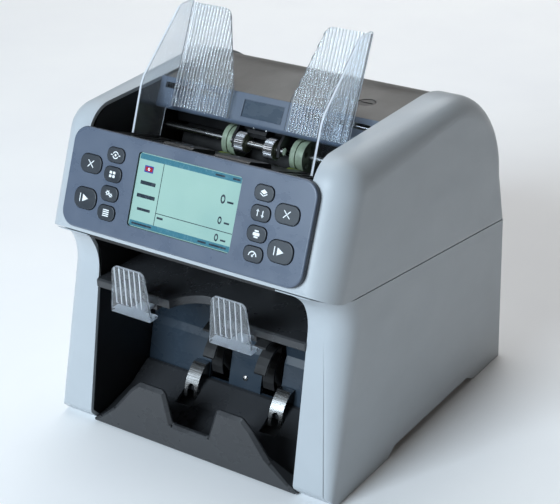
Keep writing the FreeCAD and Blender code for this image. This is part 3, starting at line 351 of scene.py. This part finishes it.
def prism(bm, points, low, high):
    """A closed prism of a flat outline."""
    bottom = [bm.verts.new((x, y, low)) for x, y in points]
    top = [bm.verts.new((x, y, high)) for x, y in points]
    bm.faces.new(bottom[::-1])
    bm.faces.new(top)
    count = len(points)
    for i in range(count):
        j = (i + 1) % count
        bm.faces.new((bottom[i], bottom[j], top[j], top[i]))


def rounded_box_points(cx, cy, width, height, radius, steps=5):
    points = []
    radius = min(radius, width / 2 - 1e-5, height / 2 - 1e-5)
    for corner in range(4):
        sx = 1 if corner in (0, 3) else -1
        sy = 1 if corner in (0, 1) else -1
        for i in range(steps + 1):
            angle = math.pi / 2 * (corner + i / steps)
            points.append((cx + sx * (width / 2 - radius) + radius * math.cos(angle),
                           cy + sy * (height / 2 - radius) + radius * math.sin(angle)))
    return points


def bar(bm, cx, cy, width, height, low, high, radius=None):
    prism(bm, rounded_box_points(cx, cy, width, height, radius or min(width, height) * 0.3), low, high)


def disc(bm, cx, cy, radius, low, high, steps=24):
    angles = [2 * math.pi * i / steps for i in range(steps)]
    points = [(cx + radius * math.cos(a), cy + radius * math.sin(a)) for a in angles]
    prism(bm, points, low, high)


def arc_band(bm, cx, cy, inner, outer, start, end, low, high, squash_y=1.0, steps=24):
    """A stretch of a flat ring; start and end are in degrees."""
    whole = abs(end - start) >= 360
    rows = []
    count = steps if whole else steps + 1
    for i in range(count):
        angle = math.radians(start + (end - start) * i / steps)
        c, s = math.cos(angle), math.sin(angle) * squash_y
        rows.append([bm.verts.new((cx + inner * c, cy + inner * s, low)),
                     bm.verts.new((cx + outer * c, cy + outer * s, low)),
                     bm.verts.new((cx + outer * c, cy + outer * s, high)),
                     bm.verts.new((cx + inner * c, cy + inner * s, high))])
    for i in range(count if whole else count - 1):
        a = rows[i]
        b = rows[(i + 1) % count]
        for k in range(4):
            m = (k + 1) % 4
            bm.faces.new((a[k], b[k], b[m], a[m]))
    if not whole:
        bm.faces.new(rows[0])
        bm.faces.new(rows[-1][::-1])


def stroke(bm, x0, y0, x1, y1, width, low, high):
    """A straight line of a drawing, as a bar with rounded ends."""
    length = math.hypot(x1 - x0, y1 - y0)
    angle = math.atan2(y1 - y0, x1 - x0)
    points = []
    for x, y in rounded_box_points(length / 2, 0, length + width, width, width * 0.49):
        points.append((x0 + x * math.cos(angle) - y * math.sin(angle),
                       y0 + x * math.sin(angle) + y * math.cos(angle)))
    prism(bm, points, low, high)


def finish_piece(name, bm, material, body, matrix=None, smooth=None, bevel=None):
    """Makes an object of the drawing, and fixes it to a body and a material slot."""
    bmesh.ops.recalc_face_normals(bm, faces=bm.faces)
    if matrix:
        bmesh.ops.transform(bm, matrix=matrix, verts=bm.verts)
    mesh = bpy.data.meshes.new(name)
    bm.to_mesh(mesh)
    bm.free()
    piece = bpy.data.objects.new(name, mesh)
    bpy.context.scene.collection.objects.link(piece)
    mesh.materials.append(material)
    if bevel:
        rounding = piece.modifiers.new("rounding", "BEVEL")
        rounding.width = bevel
        rounding.segments = 2
        rounding.limit_method = "ANGLE"
    if smooth:
        mesh.shade_smooth()
        mesh.set_sharp_from_angle(angle=math.radians(smooth))
    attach(piece, body)
    return piece


# ---------------------------------------------------------------- keys

LINE = 0.75 * MM
INK_LOW = -0.02 * MM
INK_HIGH = 0.06 * MM


def icon_play(bm, u):
    prism(bm, [(-2.0 * u, -2.6 * u), (2.8 * u, 0), (-2.0 * u, 2.6 * u)], INK_LOW, INK_HIGH)
    stroke(bm, -4.2 * u, -2.6 * u, -4.2 * u, 2.6 * u, LINE, INK_LOW, INK_HIGH)


def icon_cross(bm, u):
    stroke(bm, -2.2 * u, -2.2 * u, 2.2 * u, 2.2 * u, LINE, INK_LOW, INK_HIGH)
    stroke(bm, -2.2 * u, 2.2 * u, -0.6 * u, 0.6 * u, LINE, INK_LOW, INK_HIGH)
    stroke(bm, 0.6 * u, -0.6 * u, 2.2 * u, -2.2 * u, LINE, INK_LOW, INK_HIGH)


def icon_mode(bm, u):
    arc_band(bm, 0, 0, 2.3 * u, 3.1 * u, 20, 160, INK_LOW, INK_HIGH)
    arc_band(bm, 0, 0, 2.3 * u, 3.1 * u, 200, 340, INK_LOW, INK_HIGH)
    disc(bm, 0, 0, 1.0 * u, INK_LOW, INK_HIGH)
    stroke(bm, -4.6 * u, 0, -3.4 * u, 0, LINE, INK_LOW, INK_HIGH)
    stroke(bm, 3.4 * u, 0, 4.6 * u, 0, LINE, INK_LOW, INK_HIGH)


def icon_blocks(bm, u):
    for x in (-1.7, 1.7):
        for y in (-1.5, 1.5):
            bar(bm, x * u, y * u, 2.5 * u, 2.2 * u, INK_LOW, INK_HIGH)


def icon_gears(bm, u):
    for cx, cy, size in ((-1.3, 0.6, 1.0), (2.0, -1.0, 0.75)):
        arc_band(bm, cx * u, cy * u, 0.7 * size * u, 1.6 * size * u, 0, 360, INK_LOW, INK_HIGH)
        for i in range(6):
            angle = math.radians(60 * i)
            x0 = cx * u + 1.6 * size * u * math.cos(angle)
            y0 = cy * u + 1.6 * size * u * math.sin(angle)
            stroke(bm, x0, y0, x0 + 0.5 * size * u * math.cos(angle), y0 + 0.5 * size * u * math.sin(angle),
                   LINE * 0.8, INK_LOW, INK_HIGH)


def icon_list(bm, u):
    for i in range(4):
        bar(bm, 0, (2.4 - 1.6 * i) * u, 6.2 * u, 0.9 * u, INK_LOW, INK_HIGH)


def icon_stack(bm, u):
    prism(bm, [(-3.2 * u, 0.9 * u), (0, -1.0 * u), (3.2 * u, 0.9 * u), (0, 2.8 * u)], INK_LOW, INK_HIGH)
    stroke(bm, -3.0 * u, -0.7 * u, 0, -2.4 * u, LINE, INK_LOW, INK_HIGH)
    stroke(bm, 0, -2.4 * u, 3.0 * u, -0.7 * u, LINE, INK_LOW, INK_HIGH)


def icon_sort(bm, u):
    stroke(bm, -2.4 * u, -2.2 * u, -2.4 * u, 2.2 * u, LINE, INK_LOW, INK_HIGH)
    prism(bm, [(-3.9 * u, 1.2 * u), (-0.9 * u, 1.2 * u), (-2.4 * u, 3.2 * u)], INK_LOW, INK_HIGH)
    stroke(bm, 2.4 * u, -2.2 * u, 2.4 * u, 2.2 * u, LINE, INK_LOW, INK_HIGH)
    prism(bm, [(0.9 * u, -1.2 * u), (2.4 * u, -3.2 * u), (3.9 * u, -1.2 * u)], INK_LOW, INK_HIGH)


def icon_printer(bm, u):
    bar(bm, 0, -0.2 * u, 6.2 * u, 2.6 * u, INK_LOW, INK_HIGH)
    bar(bm, 0, 2.3 * u, 3.8 * u, 1.3 * u, INK_LOW, INK_HIGH)
    bar(bm, 0, -2.5 * u, 3.8 * u, 1.2 * u, INK_LOW, INK_HIGH)


def icon_gauge(bm, u):
    arc_band(bm, 0, -1.4 * u, 3.0 * u, 3.9 * u, 0, 180, INK_LOW, INK_HIGH)
    stroke(bm, 0, -1.2 * u, 1.7 * u, 1.0 * u, LINE, INK_LOW, INK_HIGH)
    disc(bm, 0, -1.3 * u, 0.9 * u, INK_LOW, INK_HIGH)


ICONS = {
    "key_left_1": icon_mode, "key_left_2": icon_blocks, "key_left_3": icon_gears, "key_left_4": icon_list,
    "key_right_1": icon_stack, "key_right_2": icon_sort, "key_right_3": icon_printer,
    "key_right_4": icon_gauge, "key_clear_left": icon_cross, "key_clear_right": icon_cross,
    "key_start_left": icon_play, "key_start_right": icon_play}
UP = (0, math.sin(PANEL_TILT), math.cos(PANEL_TILT))
OUT = (0, -math.cos(PANEL_TILT), math.sin(PANEL_TILT))


def key_icons():
    for key, draw in ICONS.items():
        x = sum(reach(key, (1, 0, 0))) / 2
        along = sum(reach(key, UP)) / 2
        bm = bmesh.new()
        draw(bm, (1.15 if "start" in key or "clear" in key else 0.95) * MM)
        finish_piece("icon_" + key, bm, WHITE_INK, key + "_body",
                     sloped_matrix(PANEL_TILT, x, along, reach(key, OUT)[1]))


# ---------------------------------------------------------------- display

GLASS_MARGIN = 3.4 * MM        # the module's frame round its lit face

# Where things stand on the lit face, as shares of its width and height, measured from its lower left.
ZEROS = ((0.853, 0.665, 3.8), (0.857, 0.385, 3.2), (0.854, 0.155, 3.2))          # with a size in mm
ZERO_SQUASH = 1.62             # height over width of a zero
WORD_BARS = (
    (0.124, 0.61, 0.15, 0.050), (0.124, 0.43, 0.18, 0.050), (0.124, 0.25, 0.13, 0.036),
    (0.296, 0.195, 0.06, 0.028), (0.925, 0.640, 0.06, 0.026), (0.925, 0.365, 0.05, 0.024),
    (0.920, 0.135, 0.05, 0.024))
CAPTION_BARS = ((0.79, 0.955, 0.09), (0.945, 0.955, 0.07), (0.13, 0.045, 0.20), (0.73, 0.045, 0.08),
                (0.88, 0.045, 0.16))
CAPTION_HEIGHT = 0.024
STRIP_MIDDLES = (0.955, 0.045)
STRIP_SIZE = (0.985, 0.075)
NOTE_MIDDLE = (0.11, 0.80)
RULE_WIDTH = 0.55 * MM
FILM = 0.05 * MM               # height of a film on the glass


def display_picture():
    """The picture on the display: header, footer, rows of plain bars for words, and zeros."""
    x_low, x_high = reach("lcd_module", (1, 0, 0))
    low, high = reach("lcd_module", UP)
    x_low += GLASS_MARGIN
    x_high -= GLASS_MARGIN
    low += GLASS_MARGIN
    high -= GLASS_MARGIN
    width = x_high - x_low
    height = high - low
    place = sloped_matrix(PANEL_TILT, x_low, low, reach("lcd_module", OUT)[1])
    note_x = width * NOTE_MIDDLE[0]
    note_y = height * NOTE_MIDDLE[1]

    def piece(name, material, draw):
        bm = bmesh.new()
        draw(bm)
        finish_piece(name, bm, material, "chassis", place)

    def strips(bm):
        for cy in STRIP_MIDDLES:
            bar(bm, width * 0.5, height * cy, width * STRIP_SIZE[0], height * STRIP_SIZE[1], 0, FILM,
                0.3 * MM)

    def rules(bm):
        bar(bm, width * 0.62, height * 0.25, width * 0.745, RULE_WIDTH, 0, FILM)
        bar(bm, width * 0.248, height * 0.5, RULE_WIDTH, height * 0.84, 0, FILM)

    def marks(bm):
        for cx, cy, size in ZEROS:
            arc_band(bm, width * cx, height * cy, size * MM * 0.30, size * MM * 0.56, 0, 360, 0, FILM,
                     ZERO_SQUASH)
        for cx, cy, w, h in WORD_BARS:
            bar(bm, width * cx, height * cy, width * w, height * h, 0, FILM, 0.25 * MM)

    def captions(bm):
        for cx, cy, w in CAPTION_BARS:
            bar(bm, width * cx, height * cy, width * w, height * CAPTION_HEIGHT, FILM * 0.5,
                FILM + 0.03 * MM, 0.2 * MM)

    def note_edge(bm):
        bar(bm, note_x, note_y, 8.4 * MM, 5.2 * MM, 0, FILM, 0.4 * MM)

    def note_band(bm):
        bar(bm, note_x, note_y, 6.8 * MM, 3.4 * MM, FILM * 0.5, FILM + 0.02 * MM, 0.3 * MM)

    def note_ring(bm):
        arc_band(bm, note_x, note_y, 0.5 * MM, 1.1 * MM, 0, 360, FILM, FILM + 0.04 * MM)

    piece("screen_strips", SCREEN_TEAL, strips)
    piece("screen_rules", SCREEN_DARK, rules)
    piece("screen_marks", SCREEN_DARK, marks)
    piece("screen_captions", SCREEN_DARK, captions)
    piece("screen_note_edge", SCREEN_BLUE, note_edge)
    piece("screen_note_band", SCREEN_RED, note_band)
    piece("screen_note_ring", WHITE_INK, note_ring)


# ---------------------------------------------------------------- small parts

LABEL_SIZE = (37.2 * MM, 13.2 * MM)
LABEL_LOW, LABEL_HIGH = -0.75 * MM, -0.2 * MM      # its back and front, from the plate's face
LABEL_X = 1.0 * MM
LABEL_DROP = 12.0 * MM         # from the plate's upper edge to the label's middle
ROLLER_WIDTH = 8.0 * MM
HUB_RINGS = ((7.4, 0.25, 40), (4.3, 0.6, 32))      # outer radius, half width, steps
HUB_HOLE_R = 3.1 * MM
BACK_WALL_TILT = math.radians(16.2)
WALL_SCREW = (2.6 * MM, 1.3 * MM)                  # radius and height of the head
BRACKET_SCREW = (1.5 * MM, 0.8 * MM)
BRACKET_SCREW_X = 6.0 * MM
INLET_PINS = (("pin_left", 71.5, 42.5), ("pin_right", 83.5, 42.5), ("pin_middle", 77.5, 46.5))
PIN_DEPTH = 15.9 * MM          # from the back panel's face to the foot of a pin
PIN_SIZE = (2.2 * MM, 4.2 * MM, 10.2 * MM)
PORT_PLACE = (-22.0 * MM, 39.0 * MM)
PORT_DEPTH = 8.0 * MM
PORT_WALLS = ((0, 4.0, 15.2, 1.2), (0, -4.0, 15.2, 1.2), (-7.0, 0, 1.2, 9.2), (7.0, 0, 1.2, 9.2))


def leaning_matrix(tilt, place):
    """Like sloped_matrix, but from a point on the face."""
    turn = sloped_matrix(tilt, 0, 0, 0).to_3x3().to_4x4()
    return Matrix.Translation(place) @ turn


def box_middle(node):
    """The middle of a CAD node's box."""
    low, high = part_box(node)
    return (Vector(low) + Vector(high)) / 2


def screw_head(bm, radius, height, steps=20):
    """A domed head with a cross recess, standing on z = 0."""
    rings = []
    for share, lift in ((1.0, 0.0), (0.97, 0.45), (0.80, 0.80), (0.45, 1.0)):
        ring = []
        for i in range(steps):
            angle = 2 * math.pi * i / steps
            inward = 0.62 if share < 0.5 and i % (steps // 4) else 1.0
            ring.append(bm.verts.new((radius * share * inward * math.cos(angle),
                                      radius * share * inward * math.sin(angle), height * lift)))
        rings.append(ring)
    for lower, upper in zip(rings, rings[1:]):
        for i in range(steps):
            j = (i + 1) % steps
            bm.faces.new((lower[i], lower[j], upper[j], upper[i]))
    pit = [bm.verts.new((v.co.x * 0.8, v.co.y * 0.8, height * 0.35)) for v in rings[-1]]
    for i in range(steps):
        j = (i + 1) % steps
        bm.faces.new((rings[-1][i], rings[-1][j], pit[j], pit[i]))
    bm.faces.new(pit)
    bm.faces.new(rings[0][::-1])


def hopper_label():
    """The dark slate insert in the recess of the hopper plate."""
    up = (0, math.sin(PLATE_TILT), math.cos(PLATE_TILT))
    out = (0, -math.cos(PLATE_TILT), math.sin(PLATE_TILT))
    bm = bmesh.new()
    bar(bm, 0, 0, *LABEL_SIZE, LABEL_LOW, LABEL_HIGH, 0.6 * MM)
    place = sloped_matrix(PLATE_TILT, LABEL_X, reach("hopper_plate", up)[1] - LABEL_DROP,
                          reach("hopper_plate", out)[1])
    finish_piece("hopper_label", bm, LABEL, "chassis", place, bevel=0.15 * MM)


def kicker_hubs():
    """Moulded hub faces in the ends of the two knurled rollers."""
    low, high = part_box("kicker_rollers")
    centre = box_middle("kicker_rollers")
    turn = Matrix.Rotation(math.pi / 2, 4, "Y")
    ends = (low[0], low[0] + ROLLER_WIDTH, high[0] - ROLLER_WIDTH, high[0])
    for number, x in enumerate(ends, start=1):
        bm = bmesh.new()
        for radius, half, steps in HUB_RINGS:
            arc_band(bm, 0, 0, HUB_HOLE_R, radius * MM, 0, 360, -half * MM, half * MM, steps=steps)
        finish_piece("hub_" + str(number), bm, HUB, "kicker",
                     Matrix.Translation((x, centre.y, centre.z)) @ turn, smooth=40)


def small_screws():
    """The screw in the pocket's back wall and the two on the sensor bracket."""
    low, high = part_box("stacker_back_wall")
    bm = bmesh.new()
    screw_head(bm, *WALL_SCREW)
    finish_piece("wall_screw", bm, FINISH["bright_steel"], "chassis",
                 leaning_matrix(BACK_WALL_TILT, (0, low[1] + 2.4 * MM, low[2] + 12.5 * MM)), smooth=35)
    low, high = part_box("sensor_bracket")
    for name, x in (("bracket_screw_left", -BRACKET_SCREW_X), ("bracket_screw_right", BRACKET_SCREW_X)):
        bm = bmesh.new()
        screw_head(bm, *BRACKET_SCREW)
        finish_piece(name, bm, FINISH["bright_steel"], "chassis",
                     Matrix.Translation((x, low[1] + 9.0 * MM, high[2])), smooth=35)


def back_details():
    """Brass sleeves on the inlet's three pins and the pressed shell of the service port."""
    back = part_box("back_panel")[1][1]
    to_back = Matrix.Rotation(-math.pi / 2, 4, "X")
    for name, x, z in INLET_PINS:
        bm = bmesh.new()
        bar(bm, 0, 0, PIN_SIZE[0], PIN_SIZE[1], 0, PIN_SIZE[2], 0.5 * MM)
        place = Matrix.Translation((x * MM, back - PIN_DEPTH, z * MM)) @ to_back
        finish_piece("inlet_" + name, bm, BRASS, "chassis", place, bevel=0.3 * MM)
    bm = bmesh.new()
    for x, z, width, height in PORT_WALLS:
        bar(bm, x * MM, z * MM, width * MM, height * MM, 0, 7.6 * MM, 0.3 * MM)
    place = Matrix.Translation((PORT_PLACE[0], back - PORT_DEPTH, PORT_PLACE[1])) @ to_back
    finish_piece("port_shell", bm, FINISH["bright_steel"], "chassis", place)


# ---------------------------------------------------------------- stage

CAMERA_PLACE = Vector((0.65926, -0.92342, 0.69485))
CAMERA_AZIMUTH = math.radians(35.55)
CAMERA_ELEVATION = math.radians(26.61)
CAMERA_ROLL = math.radians(-2.22)
CAMERA_LENS = 98.16


def camera():
    """The photograph's point of view."""
    data = bpy.data.cameras.new("camera")
    data.sensor_width = 36.0
    data.lens = CAMERA_LENS
    cam = bpy.data.objects.new("camera", data)
    bpy.context.scene.collection.objects.link(cam)
    forward = Vector((-math.sin(CAMERA_AZIMUTH) * math.cos(CAMERA_ELEVATION),
                      math.cos(CAMERA_AZIMUTH) * math.cos(CAMERA_ELEVATION), -math.sin(CAMERA_ELEVATION)))
    right = Vector((math.cos(CAMERA_AZIMUTH), math.sin(CAMERA_AZIMUTH), 0))
    up = right.cross(forward)
    rolled_right = right * math.cos(CAMERA_ROLL) + up * math.sin(CAMERA_ROLL)
    rolled_up = up * math.cos(CAMERA_ROLL) - right * math.sin(CAMERA_ROLL)
    turn = Matrix((rolled_right, rolled_up, -forward)).transposed()
    cam.matrix_world = Matrix.Translation(CAMERA_PLACE) @ turn.to_4x4()
    bpy.context.scene.camera = cam


def area_light(name, place, target, size, power, colour):
    """A rectangular soft light."""
    data = bpy.data.lights.new(name, "AREA")
    data.shape = "RECTANGLE"
    data.size = size[0]
    data.size_y = size[1]
    data.energy = power
    data.color = colour
    lamp = bpy.data.objects.new(name, data)
    bpy.context.scene.collection.objects.link(lamp)
    lamp.location = place
    aim = Vector(target) - Vector(place)
    lamp.rotation_euler = aim.to_track_quat("-Z", "Y").to_euler()


# name, place, point it looks at, size, watts, colour
LIGHTS = (
    ("window_light", (-0.45, -2.2, 1.35), (0, 0, 0.15), (1.1, 1.0), 68, (0.76, 0.89, 1.0)),
    ("top_light", (-0.5, 0.4, 2.2), (0, 0, 0.15), (1.8, 1.4), 20, (0.93, 0.97, 1.0)),
    ("floor_light", (-0.9, 2.3, 1.7), (-0.9, 2.4, 0.0), (2.4, 1.8), 34, (1.0, 1.0, 1.0)),
    ("room_light", (2.0, 0.4, 0.7), (0, 0, 0.1), (1.2, 1.2), 1.2, (1.0, 0.88, 0.74)))
FLOOR_HALF = 14.0
SKY_COLOUR = (1.0, 0.97, 0.93, 1)
SKY_STRENGTH = 0.07


def stage():
    """A pale floor, four soft lights and a dim sky."""
    bm = bmesh.new()
    bmesh.ops.create_grid(bm, x_segments=2, y_segments=2, size=FLOOR_HALF)
    mesh = bpy.data.meshes.new("floor")
    bm.to_mesh(mesh)
    bm.free()
    floor = bpy.data.objects.new("floor", mesh)
    bpy.context.scene.collection.objects.link(floor)
    mat = new_material("floor", srgb(0.97, 0.97, 0.97), 0.75)
    tone = ramp(mat, noise_field(mat, 6.0, 3.0), 0.3, 0.7, 0.0, 1.0)
    set_colour(mat, blend_colours(mat, tone, srgb(0.965, 0.965, 0.97), srgb(0.98, 0.98, 0.98)))
    mesh.materials.append(mat)
    for lamp in LIGHTS:
        area_light(*lamp)
    world = bpy.data.worlds.new("world")
    world.use_nodes = True
    sky = world.node_tree.nodes["Background"]
    sky.inputs["Color"].default_value = SKY_COLOUR
    sky.inputs["Strength"].default_value = SKY_STRENGTH
    bpy.context.scene.world = world
    bpy.context.scene.view_settings.view_transform = "Standard"


key_icons()
display_picture()
hopper_label()
kicker_hubs()
small_screws()
back_details()
camera()
stage()
